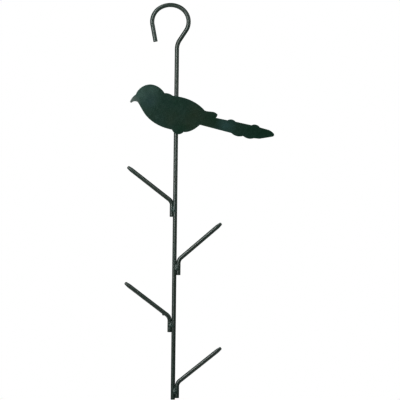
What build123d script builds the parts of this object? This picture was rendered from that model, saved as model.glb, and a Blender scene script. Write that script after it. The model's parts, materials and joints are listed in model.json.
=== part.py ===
from build123d import *
import os
from math import cos, radians, sin, tan

os.makedirs("parts", exist_ok=True)

# Hanging feeder for fat balls: a hooked wire pole, a flat bird and four spikes, welded together.
# Millimetres. The origin is the seat of the hook, the inside of the top of its crown, where the
# feeder hangs. +Z is up and +X runs from the bird's beak to its tail. The bird stands in front
# of the pole, on the -Y side.

# Wire, the same round stock for the pole and the spikes
WIRE_RADIUS = 2.5
CUT_END_ROUND = 0.6

# Hook and pole
POLE_X = 8.5
POLE_BOTTOM = -485.0
CROWN_RADIUS = 25.0
CROWN_HALF_ANGLE = 30.0
SHOULDER_RADIUS = 20.0
TIP_SIDE_BEND = 71.0
POLE_SIDE_BEND = 93.0
TIP_LEG = 21.5
NECK_RADIUS = 20.0

# Spikes: stub along the pole, bend, arm that rises outwards and tapers to a blunt nose
STUB_LENGTH = 18.7
SPIKE_BEND_RADIUS = 9.0
SPIKE_LENGTH = 69.5
NOSE_LENGTH = 6.0
NOSE_TAPER = 8.0
NOSE_ROUND = 1.2

# Each spike: side of the pole, height where stub and arm would cross, arm's rise above level,
# and how far round towards the back of the pole its stub is set
SPIKES = {
    "top_left": (-1, -240.4, 37.4, 39.0),
    "upper_right": (1, -312.3, 41.1, 0.0),
    "lower_left": (-1, -382.9, 36.7, 0.0),
    "bottom_right": (1, -464.3, 39.2, 0.0),
}

# Weld beads: half spindles laid in the groove between two pieces
SPIKE_WELD_LENGTH = 10.0
SPIKE_WELD_RADIUS = 2.9
SPIKE_WELD_ROOT = 0.8
SPIKE_WELD_ABOVE_STUB_END = 9.7
BIRD_WELD_LENGTH = 9.0
BIRD_WELD_RADIUS = 1.9
BIRD_WELD_OFFSET = 2.6

# Bird: sheet cut to the outline of a tit, drawn from a point on the pole's axis
SHEET = 2.0
BIRD_HEIGHT = -130.0
BIRD_WELDS = {"upper": (1, -118.0), "lower": (-1, -145.0)}


# Hook and pole: one wire, bent in the XZ plane
with BuildPart() as hook_pole:
    with BuildLine(Plane.XZ) as hook_path:
        half_angle = radians(CROWN_HALF_ANGLE)
        crown_drop = CROWN_RADIUS * (1 - cos(half_angle))
        crown_start = (-CROWN_RADIUS * sin(half_angle), WIRE_RADIUS - crown_drop)
        rising = (cos(half_angle), sin(half_angle))
        falling = (-rising[0], -rising[1])
        crown = JernArc(crown_start, rising, CROWN_RADIUS, -2 * CROWN_HALF_ANGLE)
        pole_side = JernArc(crown @ 1, crown % 1, SHOULDER_RADIUS, -POLE_SIDE_BEND)
        # The slanted leg is as long as it takes for the neck to end on the pole's axis
        lean = CROWN_HALF_ANGLE + POLE_SIDE_BEND - 90
        neck_width = NECK_RADIUS * (1 - cos(radians(lean)))
        slant_length = ((pole_side @ 1).X - neck_width - POLE_X) / sin(radians(lean))
        slant = Line(pole_side @ 1, pole_side @ 1 + (pole_side % 1) * slant_length)
        neck = JernArc(slant @ 1, slant % 1, NECK_RADIUS, lean)
        Line(neck @ 1, (POLE_X, POLE_BOTTOM))
        tip_side = JernArc(crown_start, falling, SHOULDER_RADIUS, TIP_SIDE_BEND)
        Line(tip_side @ 1, tip_side @ 1 + (tip_side % 1) * TIP_LEG)
    with BuildSketch(Plane((POLE_X, 0, POLE_BOTTOM))):
        Circle(WIRE_RADIUS)
    sweep(path=hook_path.line)
    cut_ends = hook_pole.faces().filter_by(GeomType.PLANE)
    fillet(cut_ends.edges(), CUT_END_ROUND)
hook_pole.part.label = "hook_pole"
export_step(hook_pole.part, "parts/hook_pole.step")


def bend_spike(side, crossing_height, rise, set_round):
    """One spike, its stub against the pole and its arm parallel to the XZ plane."""
    stub_x = POLE_X + side * 2 * WIRE_RADIUS * cos(radians(set_round))
    stub_y = 2 * WIRE_RADIUS * sin(radians(set_round))
    bend_angle = 90 - rise
    bend_reach = SPIKE_BEND_RADIUS * tan(radians(bend_angle / 2))
    stub_end = (stub_x, crossing_height - STUB_LENGTH)
    with BuildPart() as spike:
        with BuildLine(Plane.XZ.offset(-stub_y)) as spike_path:
            stub = Line(stub_end, (stub_x, crossing_height - bend_reach))
            bend = JernArc(stub @ 1, stub % 1, SPIKE_BEND_RADIUS, -side * bend_angle)
            straight = SPIKE_LENGTH - bend_reach - NOSE_LENGTH
            arm = Line(bend @ 1, bend @ 1 + (bend % 1) * straight)
        with BuildSketch(Plane(stub @ 0, z_dir=stub % 0)):
            Circle(WIRE_RADIUS)
        sweep(path=spike_path.line)
        with BuildSketch(Plane(arm @ 1, z_dir=arm % 1)):
            Circle(WIRE_RADIUS)
        extrude(amount=NOSE_LENGTH, taper=NOSE_TAPER)
        flat_ends = spike.faces().filter_by(GeomType.PLANE).sort_by(Axis.Z)
        fillet(flat_ends[0].edges(), CUT_END_ROUND)
        fillet(flat_ends[-1].edges(), NOSE_ROUND)
    return spike


def lay_bead(root, across, radius, length, wires):
    """The part of a half spindle of weld metal, standing on root, that these wires leave free."""
    section = Plane(root, x_dir=across, z_dir=(0, 0, -1))
    with BuildPart() as bead:
        with BuildSketch(section):
            Rectangle(2 * radius, radius, align=(Align.CENTER, Align.MIN))
            with Locations(*wires):
                Circle(WIRE_RADIUS, mode=Mode.SUBTRACT)
        extrude(amount=length / 2, both=True)
        with BuildSketch(Plane(root, x_dir=across, z_dir=section.y_dir)):
            with BuildLine():
                crest = ThreePointArc((0, -length / 2), (radius, 0), (0, length / 2))
                Line(crest @ 1, crest @ 0)
            make_face()
        revolve(axis=Axis(root, (0, 0, -1)), revolution_arc=180, mode=Mode.INTERSECT)
    return bead


for spike_name, (side, crossing_height, rise, set_round) in SPIKES.items():
    spike = bend_spike(side, crossing_height, rise, set_round)
    spike.part.label = f"spike_{spike_name}"
    export_step(spike.part, f"parts/spike_{spike_name}.step")
    # The bead lies in the front groove between stub and pole, short of the line where they touch
    across = Vector(cos(radians(set_round)), side * sin(radians(set_round)), 0)
    front = Vector(across.Y, -across.X, 0)
    bead_height = crossing_height - STUB_LENGTH + SPIKE_WELD_ABOVE_STUB_END
    touching = Vector(POLE_X, 0, bead_height) + across * side * WIRE_RADIUS
    root = touching + front * SPIKE_WELD_ROOT
    wires = [(-WIRE_RADIUS, -SPIKE_WELD_ROOT), (WIRE_RADIUS, -SPIKE_WELD_ROOT)]
    weld = lay_bead(root, across, SPIKE_WELD_RADIUS, SPIKE_WELD_LENGTH, wires)
    weld.part.label = f"weld_spike_{spike_name}"
    export_step(weld.part, f"parts/weld_spike_{spike_name}.step")

# Bird: its outline in order, from the tip of the beak over the back to the tail and home again
with BuildPart() as bird_plate:
    sheet_back = Plane((POLE_X, -WIRE_RADIUS, BIRD_HEIGHT), x_dir=(1, 0, 0), z_dir=(0, -1, 0))
    with BuildSketch(sheet_back):
        with BuildLine():
            beak_top = ThreePointArc((-57, 12.5), (-54.5, 17.2), (-50, 21.5))
            head = Spline(
                beak_top @ 1, (-47.5, 26.2), (-41, 31.7), (-33, 33.9), (-25, 32.3),
                (-18.5, 28), (-14.8, 23.4),
            )
            nape = ThreePointArc(head @ 1, (-9.5, 22.9), (-4.5, 20.3))
            back = Spline(nape @ 1, (4, 19.1), (15, 16.1), (25.5, 10.8), (35, 2.6))
            wing_top = Spline(back @ 1, (38.5, 1.6), (46, 0.8), (51, -2.3))
            wing_end = ThreePointArc(wing_top @ 1, (50.4, -4.1), (48.9, -6.3))
            tail_root = Line(wing_end @ 1, (63.5, -9.3))
            first_feather = ThreePointArc(tail_root @ 1, (68.5, -8.2), (73.5, -10.9))
            tail_middle = Line(first_feather @ 1, (93.3, -15))
            second_feather = ThreePointArc(tail_middle @ 1, (98.3, -14.2), (103.5, -17.6))
            tail_end = Line(second_feather @ 1, (114, -20.4))
            tail_tip = Spline(
                tail_end @ 1, (118.5, -22.8), (121.2, -26.6), (119, -28.6),
                tangents=(tail_end % 1, (-1, -0.17)),
            )
            tail_edge = Line(tail_tip @ 1, (103.5, -31.3))
            tail_notch = Line(tail_edge @ 1, (96, -30.8))
            long_covert = ThreePointArc(tail_notch @ 1, (90.5, -31.4), (83, -28.1))
            short_covert = ThreePointArc(long_covert @ 1, (77, -28.7), (68.5, -24.7))
            tail_under = Line(short_covert @ 1, (29.5, -15))
            rump = Spline(tail_under @ 1, (25.2, -18.5), (19, -22.3), (9.2, -24.1))
            foot = ThreePointArc(rump @ 1, (2.5, -27), (-4.8, -21.4))
            belly = Spline(
                foot @ 1, (-17, -18.1), (-29, -11.7), (-38, -3.2), (-44.5, 7.2), (-47.5, 12.1)
            )
            chin = ThreePointArc(belly @ 1, (-51, 13.2), (-55.2, 11.5))
            ThreePointArc(chin @ 1, (-56.5, 11.6), beak_top @ 0)
        make_face()
    extrude(amount=SHEET)
bird_plate.part.label = "bird_plate"
export_step(bird_plate.part, "parts/bird_plate.step")

# Bird's welds, in the angle between the back of the sheet and the side of the pole
for weld_name, (side, height) in BIRD_WELDS.items():
    root = Vector(POLE_X + side * BIRD_WELD_OFFSET, -WIRE_RADIUS, height)
    wires = [(side * BIRD_WELD_OFFSET, WIRE_RADIUS)]
    weld = lay_bead(root, (-1, 0, 0), BIRD_WELD_RADIUS, BIRD_WELD_LENGTH, wires)
    weld.part.label = f"weld_bird_{weld_name}"
    export_step(weld.part, f"parts/weld_bird_{weld_name}.step")
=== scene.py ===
import json
import math
import random

import bmesh
import bpy
from mathutils import Matrix, Vector, kdtree, noise
from mathutils.geometry import delaunay_2d_cdt


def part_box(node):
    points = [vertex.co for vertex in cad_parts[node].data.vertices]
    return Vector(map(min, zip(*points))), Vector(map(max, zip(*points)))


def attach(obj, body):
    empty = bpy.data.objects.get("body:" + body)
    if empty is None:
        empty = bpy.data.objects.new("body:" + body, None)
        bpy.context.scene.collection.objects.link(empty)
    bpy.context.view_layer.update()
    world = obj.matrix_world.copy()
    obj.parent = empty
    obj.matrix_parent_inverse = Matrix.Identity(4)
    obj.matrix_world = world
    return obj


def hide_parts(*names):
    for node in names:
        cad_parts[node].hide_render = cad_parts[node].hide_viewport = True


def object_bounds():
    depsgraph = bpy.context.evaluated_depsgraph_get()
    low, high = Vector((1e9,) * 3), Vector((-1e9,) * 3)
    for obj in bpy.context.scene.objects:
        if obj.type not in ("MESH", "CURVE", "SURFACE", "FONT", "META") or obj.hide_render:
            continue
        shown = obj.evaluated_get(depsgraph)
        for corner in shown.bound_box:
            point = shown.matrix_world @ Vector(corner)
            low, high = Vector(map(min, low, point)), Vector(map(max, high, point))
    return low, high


# Hanging fat-ball feeder: one bent wire for hook and pole, a cut-out bird, four wire spikes and
# the weld beads between them, all under one dark green powder coat. Metres, in the CAD's frame:
# the feeder lies in the XZ plane, up is +Z and its front is -Y.
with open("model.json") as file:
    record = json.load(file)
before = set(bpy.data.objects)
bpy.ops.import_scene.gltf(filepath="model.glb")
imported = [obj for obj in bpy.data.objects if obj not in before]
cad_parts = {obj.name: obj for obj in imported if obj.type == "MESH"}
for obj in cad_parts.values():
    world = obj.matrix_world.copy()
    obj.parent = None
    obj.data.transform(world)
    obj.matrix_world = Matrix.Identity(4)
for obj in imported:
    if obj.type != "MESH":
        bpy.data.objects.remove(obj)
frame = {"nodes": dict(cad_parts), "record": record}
cad_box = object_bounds()
mounts = {mount["name"]: mount for mount in frame["record"]["mounts"]}

MM = 0.001
BACK = Vector((0, 1, 0))
SPIKES = ("top_left", "upper_right", "lower_left", "bottom_right")
BIRD_BEADS = ("upper", "lower")

# Wire: the bends of the CAD's hook and the ends of its wires, which the frame's boxes don't give
WIRE_RADIUS = mounts["spike_top_left_arm"]["dims"]["r_mm"] * MM
CROWN_RADIUS = 25 * MM
CROWN_HALF_ANGLE = 30
SHOULDER_RADIUS = 20 * MM
TIP_SIDE_BEND = 71
POLE_SIDE_BEND = 93
TIP_LEG = 21.5 * MM
NECK_RADIUS = 20 * MM
CUT_END_ROUND = 0.6 * MM
NOSE_LENGTH = 6 * MM
NOSE_TAPER = 8
NOSE_ROUND = 1.2 * MM

# The powder coat stands on the CAD's bare metal. It ripples, in waves as long as one over the
# frequency, and has orange peel and a finer grain, given by their depth
COAT = 0.12 * MM
COAT_RIPPLE = 0.02 * MM
COAT_RIPPLE_FREQUENCY = 260
PEEL_HEIGHT = 0.004 * MM
GRAIN_HEIGHT = 0.0008 * MM

# How finely wires are meshed
RING_SIDES = 64
ARC_STEP = 1.5
RUN_STEP = 2 * MM
END_STEPS = 6

# Bird: rounded rim, mesh spacing, and how far the sheet is from flat
RIM_ROUND = 0.3 * MM
RIM_STEPS = 4
RIM_SUPPORT = 0.15 * MM
OUTLINE_STEP = 0.7 * MM
LONG_CHORD = 4 * MM
CORNER_TURN = 24
SHEET_GRID = 2.5 * MM
SHEET_BOW = 0.1 * MM
SHEET_BOW_FREQUENCY = 16

# Camera and stage
VIEW_WIDTH = 494.2 * MM
VIEW_X = 39.2 * MM
VIEW_Z = -238 * MM
VIEW_DISTANCE = 2.0
VIEW_ROLL = 0.686
VIEW_GAMMA = 0.8
FLOOR_DROP = 0.2
FLOOR_RADIUS = 0.6
FLOOR_SIDES = 96


# ---- Mesh helpers

def new_piece(name, verts, faces, material):
    """A smooth mesh object with its normals outwards, in the scene."""
    mesh = bpy.data.meshes.new(name)
    mesh.from_pydata([tuple(v) for v in verts], [], faces)
    work = bmesh.new()
    work.from_mesh(mesh)
    bmesh.ops.recalc_face_normals(work, faces=work.faces)
    work.to_mesh(mesh)
    work.free()
    mesh.materials.append(material)
    mesh.shade_smooth()
    piece = bpy.data.objects.new(name, mesh)
    bpy.context.scene.collection.objects.link(piece)
    return piece


def place(piece, node):
    """The piece rides on the only body and stands in for its CAD node, which it hides."""
    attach(piece, "root")
    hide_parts(node)


def direction(heading):
    """The unit vector at a heading in the XZ plane, in degrees from +X towards +Z."""
    return Vector((math.cos(math.radians(heading)), 0, math.sin(math.radians(heading))))


class Wire:
    """A coated round wire bent in an XZ plane, kept as rings of (centre, heading, radius)."""

    def __init__(self, start, heading, end_round):
        self.heading = heading
        self.centre = Vector(start) - COAT * direction(heading)
        self.radius = WIRE_RADIUS + COAT
        self.rings = []
        for back, ring_radius in reversed(self.end_rings(end_round, 0)):
            self.rings.append((self.centre + back * direction(heading), heading, ring_radius))
        self.centre = Vector(start)

    def end_rings(self, end_round, slope):
        """(distance back from the end, radius) of the rings that round a cut end, side first."""
        rings = []
        for i in range(END_STEPS + 1):
            angle = math.pi / 2 * i / END_STEPS
            back = end_round * (1 - math.sin(angle))
            rings.append((back, self.radius + slope * back - end_round * (1 - math.cos(angle))))
        flat = rings[-1][1]
        return rings + [(0, flat * 0.6), (0, flat * 0.25)]

    def run(self, length, slope=0.0):
        """Go straight, thinner by slope if one is given."""
        start, first = self.centre.copy(), self.radius
        steps = max(1, math.ceil(length / RUN_STEP))
        for i in range(1, steps + 1):
            self.centre = start + direction(self.heading) * length * i / steps
            self.radius = first - slope * length * i / steps
            self.rings.append((self.centre, self.heading, self.radius))

    def bend(self, bend_radius, turn):
        """Follow an arc. A positive turn is anticlockwise in the XZ plane, seen from the front."""
        side = math.copysign(90, turn)
        middle = self.centre + bend_radius * direction(self.heading + side)
        first = self.heading
        steps = math.ceil(abs(turn) / ARC_STEP)
        for i in range(1, steps + 1):
            self.heading = first + turn * i / steps
            self.centre = middle - bend_radius * direction(self.heading + side)
            self.rings.append((self.centre, self.heading, self.radius))

    def cut(self, end_round, slope=0.0):
        """End the wire here with a rounded edge."""
        end = self.centre + COAT * direction(self.heading)
        while (self.rings[-1][0] - end).length < end_round * 1.01:
            self.rings.pop()
        for back, ring_radius in self.end_rings(end_round, slope):
            centre = end - back * direction(self.heading)
            self.rings.append((centre, self.heading, ring_radius))

    def beside(self, back, aside):
        """The point at a distance back along a spike from its nose, and aside to its underside."""
        end, heading = self.rings[-1][:2]
        under = Vector((0, 0, -1)) + math.sin(math.radians(heading)) * direction(heading)
        return end - back * direction(heading) + aside * under.normalized()

    def mesh(self, name, material):
        """The wire as a closed mesh, its coat a little uneven."""
        verts, faces = [], []
        for centre, heading, radius in self.rings:
            across = direction(heading + 90)
            for k in range(RING_SIDES):
                angle = 2 * math.pi * k / RING_SIDES
                out = across * math.cos(angle) + BACK * math.sin(angle)
                point = centre + radius * out
                verts.append(point + out * COAT_RIPPLE * noise.noise(point * COAT_RIPPLE_FREQUENCY))
        last = len(self.rings) - 1
        for i in range(last):
            for k in range(RING_SIDES):
                a = i * RING_SIDES + k
                b = i * RING_SIDES + (k + 1) % RING_SIDES
                faces.append((a, b, b + RING_SIDES, a + RING_SIDES))
        for ring in (0, last):
            middle = len(verts)
            verts.append(self.rings[ring][0])
            for k in range(RING_SIDES):
                b = (k + 1) % RING_SIDES
                faces.append((ring * RING_SIDES + k, ring * RING_SIDES + b, middle))
        return new_piece(name, verts, faces, material)


# ---- Centre lines of the wires

def spike_wire(name):
    """One spike from its stub's cut end to its nose, worked out from its arm's mount."""
    low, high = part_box(f"spike_{name}")
    arm = mounts[f"spike_{name}_arm"]
    rise = Vector(arm["axis"])
    side = math.copysign(1, rise.x)
    length = arm["dims"]["length_mm"] * MM
    arm_start = Vector(arm["pos_m"]) - rise * length / 2
    stub_x = low.x + WIRE_RADIUS if side > 0 else high.x - WIRE_RADIUS
    reach = (arm_start.x - stub_x) / rise.x
    crossing = arm_start - rise * reach
    turn = 90 - math.degrees(math.asin(rise.z))
    wire = Wire((stub_x, crossing.y, low.z), 90, CUT_END_ROUND)
    wire.run(crossing.z - reach - low.z)
    wire.bend(reach / math.tan(math.radians(turn / 2)), -side * turn)
    wire.run(length)
    slope = math.tan(math.radians(NOSE_TAPER))
    wire.run(NOSE_LENGTH, slope)
    wire.cut(NOSE_ROUND, slope)
    return wire


def hook_wire():
    """Hook and pole from the hook's tip, over the crown and the neck, to the pole's cut end."""
    crown_start = Vector((0, 0, WIRE_RADIUS - CROWN_RADIUS))
    crown_start += CROWN_RADIUS * direction(90 + CROWN_HALF_ANGLE)
    # Walk back from the crown to the tip, then lay the wire the other way
    back = Wire(crown_start, 180 + CROWN_HALF_ANGLE, CUT_END_ROUND)
    back.bend(SHOULDER_RADIUS, TIP_SIDE_BEND)
    back.run(TIP_LEG)
    wire = Wire(back.centre, back.heading - 180, CUT_END_ROUND)
    wire.run(TIP_LEG)
    wire.bend(SHOULDER_RADIUS, -TIP_SIDE_BEND)
    wire.bend(CROWN_RADIUS, -2 * CROWN_HALF_ANGLE)
    wire.bend(SHOULDER_RADIUS, -POLE_SIDE_BEND)
    lean = CROWN_HALF_ANGLE + POLE_SIDE_BEND - 90
    neck_width = NECK_RADIUS * (1 - math.cos(math.radians(lean)))
    wire.run((wire.centre.x - neck_width - pole_x) / math.sin(math.radians(lean)))
    wire.bend(NECK_RADIUS, lean)
    wire.run(wire.centre.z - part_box("hook_pole")[0].z)
    wire.cut(CUT_END_ROUND)
    return wire


spikes = {name: spike_wire(name) for name in SPIKES}
stubs = {name: wire.rings[0][0] for name, wire in spikes.items()}
pole_x = stubs["upper_right"].x - 2 * WIRE_RADIUS
hook = hook_wire()


# ---- Materials

class Nodes:
    """A material's node tree, with short ways to add nodes and link them."""

    def __init__(self, name):
        self.material = bpy.data.materials.new(name)
        self.material.use_nodes = True
        self.tree = self.material.node_tree
        self.tree.nodes.clear()

    def add(self, kind, inputs=None, **settings):
        node = self.tree.nodes.new(kind)
        for key, value in settings.items():
            setattr(node, key, value)
        for key, value in (inputs or {}).items():
            if isinstance(value, bpy.types.NodeSocket):
                self.tree.links.new(value, node.inputs[key])
            else:
                node.inputs[key].default_value = value
        return node

    def noise(self, coordinates, size, detail=2.0, roughness=0.5):
        """Noise whose lumps are about size across."""
        inputs = {"Vector": coordinates, "Scale": 1 / size, "Detail": detail, "Roughness": roughness}
        return self.add("ShaderNodeTexNoise", inputs).outputs["Fac"]

    def spread(self, value, low, high, to_low, to_high):
        """The value's range low to high, stretched to to_low to to_high and held there."""
        inputs = {"Value": value, "From Min": low, "From Max": high, "To Min": to_low, "To Max": to_high}
        return self.add("ShaderNodeMapRange", inputs).outputs["Result"]

    def blend(self, share, first, second):
        """Colours mixed by share."""
        node = self.add("ShaderNodeMix", data_type="RGBA")
        for key, value in ((0, share), (6, first), (7, second)):
            if isinstance(value, bpy.types.NodeSocket):
                self.tree.links.new(value, node.inputs[key])
            else:
                node.inputs[key].default_value = value
        return node.outputs[2]


def tint(colour, red, green, blue):
    """A colour with its channels scaled."""
    return (colour[0] * red, colour[1] * green, colour[2] * blue, 1)


def powder_coat(name, base, roughness, patches=(), rim=False):
    """Satin powder coat on metal: soft clouds of hue, a fine dusty mottle, orange peel and grain.

    Each of patches is (point, reach, colour, share), a place with another colour and a ragged
    border; on the bird some of these are painted sheen, highlight and shade. With rim, the coat
    is paler along the sheet's cut edge.
    """
    nodes = Nodes(name)
    where = nodes.add("ShaderNodeTexCoord").outputs["Object"]
    wide = nodes.noise(where, 35 * MM, detail=1.0)
    clouds = nodes.noise(where, 10 * MM, detail=3.0)
    mottle = nodes.noise(where, 3 * MM, detail=3.0, roughness=0.6)
    dusty = tint(base, 1.7, 1.3, 1.35)
    colour = nodes.blend(nodes.spread(wide, 0.38, 0.62, 0, 1), tint(base, 1.15, 0.95, 0.88), base)
    colour = nodes.blend(nodes.spread(clouds, 0.35, 0.65, 0.5, 0), colour, tint(base, 0.85, 0.9, 0.95))
    colour = nodes.blend(nodes.spread(mottle, 0.42, 0.72, 0, 0.5), colour, dusty)
    ragged = nodes.spread(clouds, 0.3, 0.7, 0.45, 1.0)
    for point, reach, patch_colour, share in patches:
        near = nodes.add("ShaderNodeVectorMath", {0: where, 1: point}, operation="DISTANCE")
        amount = nodes.spread(near.outputs["Value"], 0.2 * reach, reach, share, 0)
        amount = nodes.add("ShaderNodeMath", {0: amount, 1: ragged}, operation="MULTIPLY")
        colour = nodes.blend(amount.outputs[0], colour, patch_colour)
    if rim:
        edge = nodes.add("ShaderNodeAttribute", attribute_name="rim").outputs["Fac"]
        amount = nodes.add("ShaderNodeMath", {0: edge, 1: ragged}, operation="MULTIPLY")
        colour = nodes.blend(amount.outputs[0], colour, tint(base, 3.0, 2.0, 2.1))
    gloss = nodes.spread(mottle, 0.3, 0.7, roughness - 0.02, roughness + 0.03)
    orange_peel = nodes.noise(where, 1.3 * MM, detail=1.0)
    grain = nodes.noise(where, 0.25 * MM, detail=2.0)
    bump = nodes.add("ShaderNodeBump", {"Distance": PEEL_HEIGHT, "Height": orange_peel})
    bump = nodes.add(
        "ShaderNodeBump", {"Distance": GRAIN_HEIGHT, "Height": grain, "Normal": bump.outputs[0]}
    )
    shader = nodes.add(
        "ShaderNodeBsdfPrincipled",
        {"Base Color": colour, "Roughness": gloss, "Normal": bump.outputs[0]},
    )
    output = nodes.add("ShaderNodeOutputMaterial")
    nodes.tree.links.new(shader.outputs[0], output.inputs["Surface"])
    return nodes.material


WIRE_GREEN = (0.022, 0.038, 0.031, 1)
SHEET_GREEN = (0.010, 0.031, 0.023, 1)
BEAD_GREEN = (0.020, 0.044, 0.036, 1)
# Painted sheen: the bird's head paler and bluer, where the light falls on it
HEAD_SHEEN_TINT = (0.036, 0.070, 0.059, 1)
# Painted highlight: a lighter teal streak across the tail
TAIL_HIGHLIGHT_TINT = (0.021, 0.054, 0.050, 1)
SLATE = (0.017, 0.040, 0.041, 1)
OLIVE = (0.014, 0.027, 0.014, 1)
# Deeper green: darker patches on the body, and painted shade at the tail's end
DEEP = (0.003, 0.024, 0.013, 1)
PALE_GREY = (0.115, 0.130, 0.122, 1)

# Wires: the coat is thin and rubbed at every cut end
rubbed = [(wire.rings[-1][0], 5 * MM, PALE_GREY, 0.35) for wire in spikes.values()]
rubbed += [(hook.rings[0][0], 4 * MM, PALE_GREY, 0.3), (hook.rings[-1][0], 4 * MM, PALE_GREY, 0.2)]
rubbed += [(stub, 3 * MM, PALE_GREY, 0.2) for stub in stubs.values()]
wire_coat = powder_coat("wire_powder_coat", WIRE_GREEN, 0.28, rubbed)
bead_coat = powder_coat("bead_powder_coat", BEAD_GREEN, 0.24)


# ---- Wires

for name, wire in spikes.items():
    place(wire.mesh(f"wire_spike_{name}", wire_coat), f"spike_{name}")
place(hook.mesh("wire_hook_pole", wire_coat), "hook_pole")


# ---- Bird

def front_outline(node):
    """The outline of a CAD sheet's front face, in order, as (x, z) points."""
    work = bmesh.new()
    work.from_mesh(frame["nodes"][node].data)
    bmesh.ops.remove_doubles(work, verts=work.verts, dist=MM / 1000)
    work.normal_update()
    front = {face for face in work.faces if face.normal.y < -0.99}
    links = {}
    for edge in work.edges:
        if len(front.intersection(edge.link_faces)) == 1:
            a, b = edge.verts
            links.setdefault(a, []).append(b)
            links.setdefault(b, []).append(a)
    first = min(links, key=lambda vert: vert.co.x)
    loop, previous, current = [first], None, first
    while True:
        following = next(v for v in links[current] if v is not previous)
        if following is first:
            break
        loop.append(following)
        previous, current = current, following
    points = [Vector((vert.co.x, vert.co.z)) for vert in loop]
    work.free()
    area = sum(a.x * b.y - b.x * a.y for a, b in zip(points, points[1:] + points[:1]))
    return points if area > 0 else points[::-1]


def smooth_stretch(points):
    """Even points along a centripetal Catmull-Rom curve through points, without the last one."""
    dense = [points[0]]
    for a, b in zip(points, points[1:]):
        if (b - a).length > LONG_CHORD:
            along = (b - a).normalized() * LONG_CHORD / 2
            dense += [a + along, b - along]
        dense.append(b)
    ends = [2 * dense[0] - dense[1]] + dense + [2 * dense[-1] - dense[-2]]
    curve = []
    for p0, p1, p2, p3 in zip(ends, ends[1:], ends[2:], ends[3:]):
        gap = [max((b - a).length, 1e-9) ** 0.5 for a, b in ((p0, p1), (p1, p2), (p2, p3))]
        m1 = (p2 - p1) + gap[1] * ((p1 - p0) / gap[0] - (p2 - p0) / (gap[0] + gap[1]))
        m2 = (p2 - p1) + gap[1] * ((p3 - p2) / gap[2] - (p3 - p1) / (gap[1] + gap[2]))
        steps = max(1, math.ceil((p2 - p1).length / OUTLINE_STEP))
        for i in range(steps):
            t = i / steps
            h = (2 * t**3 - 3 * t**2 + 1, t**3 - 2 * t**2 + t, -2 * t**3 + 3 * t**2, t**3 - t**2)
            curve.append(h[0] * p1 + h[1] * m1 + h[2] * p2 + h[3] * m2)
    return curve


def smooth_outline(points):
    """The outline with its curves smoothed and its real corners kept."""
    count = len(points)
    corners = []
    for i in range(count):
        before = points[i] - points[i - 1]
        after = points[(i + 1) % count] - points[i]
        if math.degrees(before.angle(after)) > CORNER_TURN:
            corners.append(i)
    outline = []
    for start, stop in zip(corners, corners[1:] + [corners[0] + count]):
        stretch = [points[i % count] for i in range(start, stop + 1)]
        outline += smooth_stretch(stretch)
    return outline


def inset(points, distance):
    """An anticlockwise outline moved inwards by distance."""
    moved = []
    for i, point in enumerate(points):
        along = (points[(i + 1) % len(points)] - points[i - 1]).normalized()
        moved.append(point + distance * Vector((-along.y, along.x)))
    return moved


def inner_grid(outline, margin):
    """Points on a staggered grid inside the outline, at least margin from it."""
    tree = kdtree.KDTree(len(outline))
    for i, point in enumerate(outline):
        tree.insert((point.x, point.y, 0), i)
    tree.balance()
    low = Vector((min(p.x for p in outline), min(p.y for p in outline)))
    high = Vector((max(p.x for p in outline), max(p.y for p in outline)))
    row_gap = SHEET_GRID * math.sqrt(3) / 2
    found = []
    for row in range(int((high.y - low.y) / row_gap) + 1):
        for column in range(int((high.x - low.x) / SHEET_GRID) + 1):
            x = low.x + SHEET_GRID * (column + row % 2 / 2)
            y = low.y + row_gap * row
            crossings = 0
            for a, b in zip(outline, outline[1:] + outline[:1]):
                if (a.y > y) != (b.y > y) and x < a.x + (y - a.y) * (b.x - a.x) / (b.y - a.y):
                    crossings += 1
            if crossings % 2 and tree.find((x, y, 0))[2] > margin:
                found.append(Vector((x, y)))
    return found


def bird_sheet():
    """The cut sheet, with a rounded rim, a slight bow and its distance from the rim stored."""
    low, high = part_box("bird_plate")
    outline = inset(smooth_outline(front_outline("bird_plate")), -COAT)
    count = len(outline)
    # Rings from the front support ring, over the rim, to the back support ring: (inset, depth)
    half_rim = [
        (RIM_ROUND * (1 - math.cos(a)), RIM_ROUND * (1 - math.sin(a)))
        for a in (math.pi / 2 * i / RIM_STEPS for i in range(RIM_STEPS + 1))
    ]
    front = low.y - COAT
    thickness = high.y - low.y + 2 * COAT - SHEET_BOW
    front_rings = [(RIM_ROUND + RIM_SUPPORT, 0.0)] + half_rim[::-1]
    profile = front_rings + [(i, thickness - d) for i, d in front_rings[::-1]]

    def bow(point):
        where = Vector((point.x * SHEET_BOW_FREQUENCY, 0.7, point.y * SHEET_BOW_FREQUENCY))
        return SHEET_BOW * (0.5 + 0.5 * noise.noise(where))

    verts, faces, rim = [], [], []
    for distance, depth in profile:
        for point in inset(outline, distance):
            verts.append((point.x, front + depth + bow(point), point.y))
            rim.append(0.0 if distance > RIM_ROUND else 1.0)
    for ring in range(len(profile) - 1):
        for i in range(count):
            a, b = ring * count + i, ring * count + (i + 1) % count
            faces.append((a, b, b + count, a + count))

    border = inset(outline, RIM_ROUND + RIM_SUPPORT)
    grid = inner_grid(border, SHEET_GRID * 0.45)
    made = delaunay_2d_cdt(border + grid, [], [list(range(count))], 1, 1e-7)
    flat_verts, flat_faces, origins = made[0], made[2], made[3]
    for depth, first in ((0.0, 0), (thickness, (len(profile) - 1) * count)):
        index = {}
        for i, point in enumerate(flat_verts):
            on_border = [o for o in origins[i] if o < count]
            if on_border:
                index[i] = first + on_border[0]
            else:
                index[i] = len(verts)
                verts.append((point.x, front + depth + bow(point), point.y))
                rim.append(0.0)
        faces += [tuple(index[i] for i in face) for face in flat_faces]
    piece = new_piece("sheet_bird", verts, faces, sheet_coat)
    attribute = piece.data.attributes.new("rim", "FLOAT", "POINT")
    attribute.data.foreach_set("value", rim)
    return piece


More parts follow.
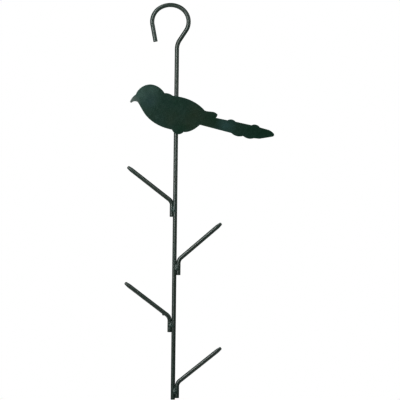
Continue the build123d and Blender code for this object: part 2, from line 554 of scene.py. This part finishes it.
def bird_patches():
    """Beak to tail: paler, olive and deeper patches; painted teal sheen and highlight; painted shade."""
    low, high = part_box("bird_plate")
    length, height, middle = high.x - low.x, high.z - low.z, (low.y + high.y) / 2

    def at(along, up):
        return (low.x + along * length, middle, low.z + up * height)

    return (
        # Painted sheen over the whole head, nearest the light
        (at(0.04, 0.86), 34 * MM, HEAD_SHEEN_TINT, 0.95),
        (at(0.13, 0.58), 18 * MM, DEEP, 0.45),
        (at(0.34, 0.70), 32 * MM, DEEP, 0.6),
        (at(0.29, 0.33), 18 * MM, OLIVE, 0.5),
        (at(0.46, 0.48), 17 * MM, OLIVE, 0.8),
        (at(0.40, 0.25), 16 * MM, OLIVE, 1.0),
        (at(0.35, 0.16), 14 * MM, DEEP, 1.0),
        (at(0.56, 0.38), 18 * MM, OLIVE, 0.9),
        (at(0.58, 0.43), 16 * MM, DEEP, 1.0),
        # Painted highlight: a teal streak on the tail
        (at(0.67, 0.26), 14 * MM, TAIL_HIGHLIGHT_TINT, 1.0),
        # Painted shade: the tail's end darker, furthest from the light
        (at(0.86, 0.12), 28 * MM, DEEP, 1.0),
        (at(0.95, 0.09), 16 * MM, DEEP, 0.9),
        (at(0.13, 0.70), 13 * MM, SLATE, 0.8),
        # More painted sheen on the head, at the crown and the cheek
        (at(0.155, 0.90), 8 * MM, HEAD_SHEEN_TINT, 0.35),
        (at(0.075, 0.79), 9 * MM, HEAD_SHEEN_TINT, 1.0),
        # A paler grey beak
        (at(0.0, 0.65), 13 * MM, PALE_GREY, 1.0),
    )


sheet_coat = powder_coat("sheet_powder_coat", SHEET_GREEN, 0.27, bird_patches(), rim=True)
place(bird_sheet(), "bird_plate")


# ---- Weld beads

BEAD_VOXEL = 0.13 * MM
BEAD_STEPS = 6
BEAD_SMOOTHING = 14
BEAD_RIPPLE = 0.012 * MM
RIPPLE_PITCH = 1.2 * MM
RIPPLE_CHEVRON = 0.3
BEAD_WAVES = 0.12 * MM
BEAD_WAVE_FREQUENCY = 420
# Each bead's half width, how far it stands to the front, and half height of a glob
SPIKE_BEAD_SIZES = (2.9 * MM, 2.6 * MM, 2.5 * MM)
BIRD_BEAD_SIZES = (1.8 * MM, 1.6 * MM, 1.5 * MM)
BIRD_BEAD_INSET = 0.3 * MM
# Droplets beside each spike's bead: how many, and their least and greatest radius in mm
SPATTER = 3
DROPLET_RADII = (0.2, 0.3)
FIRST_SEED = 11
# A run of metal frozen under the lower left arm: its distance from the nose, and its radius
DRIP_BACK = 61.5 * MM
DRIP_SIZE = 1.4 * MM

# The run of each bead, top first, as (height above its middle, as a share of its length; places
# to the right and to the front, as shares of its half width; thickness, as a share of its full one)
SPIKE_RUNS = {
    "top_left": ((0.42, 0.35, 0.30, 0.50), (0.10, 0.55, 0.50, 0.80), (-0.18, 0.58, 0.52, 1.05)),
    "upper_right": ((0.36, -0.10, 0.2, 0.50), (0.10, 0.05, 0.34, 0.82), (-0.22, 0.12, 0.34, 1.0)),
    "lower_left": (
        (0.28, 0.05, 0.25, 0.50), (0.02, -0.22, 0.35, 0.82), (-0.20, -0.45, 0.34, 1.0),
        (-0.22, 0.38, 0.32, 0.95),
    ),
    "bottom_right": ((0.32, 0.0, 0.2, 0.45), (0.02, -0.12, 0.34, 0.82), (-0.27, -0.05, 0.34, 1.05)),
}
BIRD_RUN = ((0.3, 0.1, 0.15, 0.75), (0.0, -0.1, 0.2, 1.0), (-0.3, 0.05, 0.15, 0.8))


def add_glob(work, centre, across, front, sizes):
    """An ellipsoid of weld metal, sized across, towards the front and along Z."""
    turn = Matrix((across, front, Vector((0, 0, 1)))).transposed().to_4x4()
    shape = Matrix.Translation(centre) @ turn @ Matrix.Diagonal((*sizes, 1))
    bmesh.ops.create_icosphere(work, subdivisions=4, radius=1, matrix=shape)


def melt(work):
    """Join overlapping globs into one skin and take the sharp valleys out of it."""
    mesh = bpy.data.meshes.new("globs")
    work.to_mesh(mesh)
    work.free()
    lump = bpy.data.objects.new("globs", mesh)
    bpy.context.scene.collection.objects.link(lump)
    remesh = lump.modifiers.new("melt", "REMESH")
    remesh.mode = "VOXEL"
    remesh.voxel_size = BEAD_VOXEL
    melted = bpy.data.meshes.new_from_object(
        lump.evaluated_get(bpy.context.evaluated_depsgraph_get())
    )
    bpy.data.objects.remove(lump)
    skin = bmesh.new()
    skin.from_mesh(melted)
    for _ in range(BEAD_SMOOTHING):
        bmesh.ops.smooth_vert(
            skin, verts=skin.verts, factor=0.5, use_axis_x=True, use_axis_y=True, use_axis_z=True
        )
    skin.normal_update()
    return skin


def weld_bead(name, root, across, front, sizes, length, run, spatter=()):
    """A hand-laid bead along Z on root, rippled, with droplets of spatter at given places."""
    work = bmesh.new()
    for above, below in zip(run, run[1:]):
        for i in range(BEAD_STEPS + 1):
            share = i / BEAD_STEPS
            eased = share * share * (3 - 2 * share)
            up = above[0] + (below[0] - above[0]) * share
            aside, proud, size = (a + (b - a) * eased for a, b in zip(above[1:], below[1:]))
            centre = root + Vector((0, 0, up * length)) + (across * aside + front * proud) * sizes[0]
            add_glob(work, centre, across, front, [size * radius for radius in sizes])
    bead = melt(work)
    for vert in bead.verts:
        local = vert.co - root
        chevron = local.z + RIPPLE_CHEVRON * local.dot(across) ** 2 / sizes[0]
        ripple = BEAD_RIPPLE * math.cos(2 * math.pi * chevron / RIPPLE_PITCH)
        waves = BEAD_WAVES * noise.noise(vert.co * BEAD_WAVE_FREQUENCY)
        vert.co += vert.normal * (ripple + waves)
    for centre, size in spatter:
        add_glob(bead, centre, across, front, (size, size, size * 0.9))
    mesh = bpy.data.meshes.new(name)
    bead.to_mesh(mesh)
    bead.free()
    mesh.materials.append(bead_coat)
    mesh.shade_smooth()
    piece = bpy.data.objects.new(name, mesh)
    bpy.context.scene.collection.objects.link(piece)
    return piece


def droplets(axes, across, front, height, length, rng):
    """Spatter on the fronts of upright wires, just above and below a bead at that height."""
    found = []
    for _ in range(SPATTER):
        axis = rng.choice(axes)
        angle = rng.uniform(-0.9, 0.9)
        out = front * math.cos(angle) + across * math.sin(angle)
        size = rng.uniform(*DROPLET_RADII) * MM
        centre = axis + out * (WIRE_RADIUS - size * 0.1)
        centre.z = height + rng.choice((-1, 1)) * rng.uniform(0.55, 0.8) * length
        found.append((centre, size))
    return found


pole_axis = Vector((pole_x, 0, 0))
for number, (name, run) in enumerate(SPIKE_RUNS.items()):
    rng = random.Random(number + FIRST_SEED)
    stub = stubs[name]
    across = Vector((stub.x - pole_x, stub.y, 0)).normalized()
    across *= math.copysign(1, across.x)
    front = Vector((across.y, -across.x, 0))
    low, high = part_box(f"weld_spike_{name}")
    length = high.z - low.z
    root = Vector(((stub.x + pole_x) / 2, stub.y / 2, (low.z + high.z) / 2))
    spatter = droplets((pole_axis, stub), across, front, root.z, length, rng)
    if name == "lower_left":
        spatter.append((spikes[name].beside(DRIP_BACK, WIRE_RADIUS), DRIP_SIZE))
    bead = weld_bead(
        f"bead_spike_{name}", root, across, front, SPIKE_BEAD_SIZES, length, run, spatter
    )
    place(bead, f"weld_spike_{name}")

for bead_name in BIRD_BEADS:
    low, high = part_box(f"weld_bird_{bead_name}")
    root = (low + high) / 2
    root.y = low.y + BIRD_BEAD_INSET
    bead = weld_bead(
        f"bead_bird_{bead_name}", root, Vector((-1, 0, 0)), BACK, BIRD_BEAD_SIZES,
        high.z - low.z, BIRD_RUN,
    )
    place(bead, f"weld_bird_{bead_name}")


# ---- Stage, light and camera

def floor_disc():
    """A round pale floor below the hanging feeder."""
    height = cad_box[0].z - FLOOR_DROP
    verts = [(pole_x, 0, height)]
    for i in range(FLOOR_SIDES):
        angle = 2 * math.pi * i / FLOOR_SIDES
        verts.append((FLOOR_RADIUS * math.cos(angle), FLOOR_RADIUS * math.sin(angle), height))
    faces = [(0, 1 + i, 1 + (i + 1) % FLOOR_SIDES) for i in range(FLOOR_SIDES)]
    nodes = Nodes("floor_paint")
    place_in_metres = nodes.add("ShaderNodeTexCoord").outputs["Object"]
    tone = nodes.spread(nodes.noise(place_in_metres, 0.3, detail=4.0), 0.3, 0.7, 0, 1)
    colour = nodes.blend(tone, (0.80, 0.80, 0.80, 1), (0.84, 0.84, 0.84, 1))
    shader = nodes.add("ShaderNodeBsdfPrincipled", {"Base Color": colour, "Roughness": 0.9})
    output = nodes.add("ShaderNodeOutputMaterial")
    nodes.tree.links.new(shader.outputs[0], output.inputs["Surface"])
    return new_piece("floor", verts, faces, nodes.material)


floor_disc()


def soft_box(name, position, aim, width, height, power):
    """A rectangular area light at position, turned towards aim."""
    light = bpy.data.lights.new(name, "AREA")
    light.shape = "RECTANGLE"
    light.size, light.size_y, light.energy = width, height, power
    lamp = bpy.data.objects.new(name, light)
    lamp.location = position
    lamp.rotation_euler = (Vector(aim) - Vector(position)).to_track_quat("-Z", "Y").to_euler()
    lamp.visible_camera = False
    bpy.context.scene.collection.objects.link(lamp)


def round_pole(azimuth, height, radius=0.8):
    """A place round the pole: azimuth in degrees from the front, positive to the right."""
    angle = math.radians(azimuth)
    return (pole_x + radius * math.sin(angle), -radius * math.cos(angle), height)


# Each light: where it stands, where it points, its width, its height and its watts
soft_box("key", round_pole(-31, 0.07), (pole_x, 0, 0.07), 0.28, 0.62, 8.3)
soft_box("low", round_pole(-31, -0.31), (pole_x, 0, -0.31), 0.28, 0.14, 1.0)
soft_box("fill", round_pole(20, 0.32), (pole_x, 0, 0.1), 0.3, 0.3, 2.4)
soft_box("top", (-0.45, -0.35, 0.7), (0, 0, -0.15), 0.5, 0.5, 3.5)
soft_box("right", round_pole(70, 0.05), (pole_x, 0, -0.1), 0.3, 0.6, 2.5)
soft_box("left", round_pole(-80, -0.25), (pole_x, 0, -0.25), 0.3, 0.4, 0.5)
soft_box("back", round_pole(180, -0.15, 1.2), (pole_x, 0, -0.2), 1.5, 1.5, 7.0)
soft_box("back_top", (-0.3, 1.0, 0.9), (0, 0, -0.2), 0.8, 0.8, 5)

# A plain white background for the camera, and almost no light from it
world = bpy.data.worlds.new("studio")
bpy.context.scene.world = world
world.use_nodes = True
tree = world.node_tree
tree.nodes.clear()
seen = tree.nodes.new("ShaderNodeBackground")
seen.inputs["Color"].default_value = (1, 1, 1, 1)
ambient = tree.nodes.new("ShaderNodeBackground")
ambient.inputs["Color"].default_value = (0.9, 0.95, 1, 1)
ambient.inputs["Strength"].default_value = 0.01
rays = tree.nodes.new("ShaderNodeLightPath")
switch = tree.nodes.new("ShaderNodeMixShader")
output = tree.nodes.new("ShaderNodeOutputWorld")
tree.links.new(rays.outputs["Is Camera Ray"], switch.inputs[0])
tree.links.new(ambient.outputs[0], switch.inputs[1])
tree.links.new(seen.outputs[0], switch.inputs[2])
tree.links.new(switch.outputs[0], output.inputs["Surface"])
bpy.context.scene.view_settings.view_transform = "Standard"
bpy.context.scene.view_settings.gamma = VIEW_GAMMA

camera = bpy.data.cameras.new("camera")
camera.type = "ORTHO"
camera.ortho_scale = VIEW_WIDTH
eye = bpy.data.objects.new("camera", camera)
eye.location = (VIEW_X, -VIEW_DISTANCE, VIEW_Z)
upright = Matrix.Rotation(math.radians(90), 4, "X")
eye.rotation_euler = (upright @ Matrix.Rotation(math.radians(VIEW_ROLL), 4, "Z")).to_euler()
bpy.context.scene.collection.objects.link(eye)
bpy.context.scene.camera = eye
